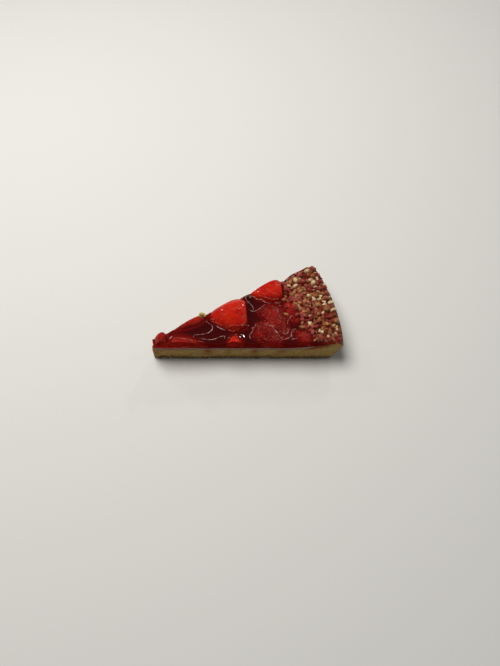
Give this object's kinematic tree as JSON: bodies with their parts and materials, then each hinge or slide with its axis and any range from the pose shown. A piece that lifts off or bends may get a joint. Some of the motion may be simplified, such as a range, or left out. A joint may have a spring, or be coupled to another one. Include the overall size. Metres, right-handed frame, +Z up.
{
  "type": "strawberry tart slice",
  "caption": "Wedge of strawberry tart: crumbly pastry base with a raised rim, vanilla cream, dark red jelly with halved strawberries, and chopped nuts along the rim.",
  "frame": {"origin": "middle of the slice's box, on the surface it rests on", "axes": "+X from the tip to the rim along the near cut, which faces -Y; +Y towards the far corner of the rim; +Z up"},
  "size_m": [0.1298, 0.0644, 0.0279],
  "materials": {
    "pastry": "crumbly baked shortcrust, golden at the cut and browner on its skin",
    "cream": "smooth set vanilla cream, faintly moist",
    "jelly": "clear dark red jelly with a wet shine",
    "strawberry": "ripe strawberry under a thin coat of jelly",
    "nuts": "chopped nuts, cream to tan, partly stained red"
  },
  "bodies": {
    "root": {"pastry_base": "pastry", "vanilla_cream": "cream", "fruit_jelly": "jelly", "strawberry_1": "strawberry", "strawberry_2": "strawberry", "strawberry_3": "strawberry", "strawberry_4": "strawberry", "strawberry_5": "strawberry", "strawberry_6": "strawberry", "strawberry_7": "strawberry", "strawberry_8": "strawberry", "strawberry_9": "strawberry", "strawberry_10": "strawberry"}
  },
  "joints": []
}
